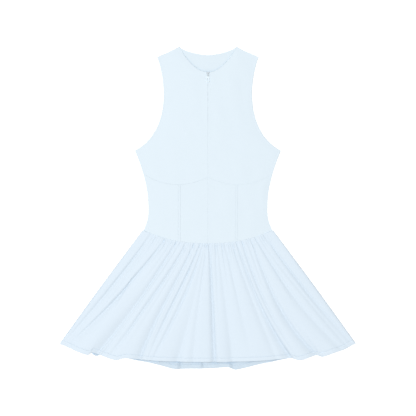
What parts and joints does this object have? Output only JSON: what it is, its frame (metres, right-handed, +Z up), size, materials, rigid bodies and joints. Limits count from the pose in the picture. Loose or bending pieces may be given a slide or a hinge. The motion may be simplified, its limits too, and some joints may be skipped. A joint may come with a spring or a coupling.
{
  "type": "sleeveless zip dress",
  "caption": "Sleeveless mini dress laid flat on its back, with a round neck, a front zip down to an underbust seam, a fitted midriff and a gathered flared skirt.",
  "frame": {"origin": "under the middle of the dress, on the surface that it lies on", "axes": "+X towards the wearer's left, +Y up the dress to the neck, +Z up off the surface"},
  "size_m": [0.74, 0.8099, 0.0141],
  "materials": {
    "cloth": "smooth matte stretch knit",
    "tape": "woven",
    "slider": "satin",
    "pull": "satin"
  },
  "bodies": {
    "dress": {"back_bodice": "cloth", "back_skirt": "cloth", "front_bust_left": "cloth", "front_bust_right": "cloth", "centre_front_left": "cloth", "centre_front_right": "cloth", "boning_channel_left": "cloth", "boning_channel_right": "cloth", "side_front_left": "cloth", "side_front_right": "cloth", "front_skirt": "cloth", "zip_tape_left": "tape", "zip_tape_right": "tape", "zip_slider": "slider"},
    "pull": {"zip_pull": "pull"}
  },
  "joints": [
    {"name": "pull_hinge", "type": "hinge", "parent": "dress", "child": "pull", "pos_m": [0, 0.3335, 0.0076], "axis": [-1, 0, 0], "range_deg": [0, 165]}
  ]
}
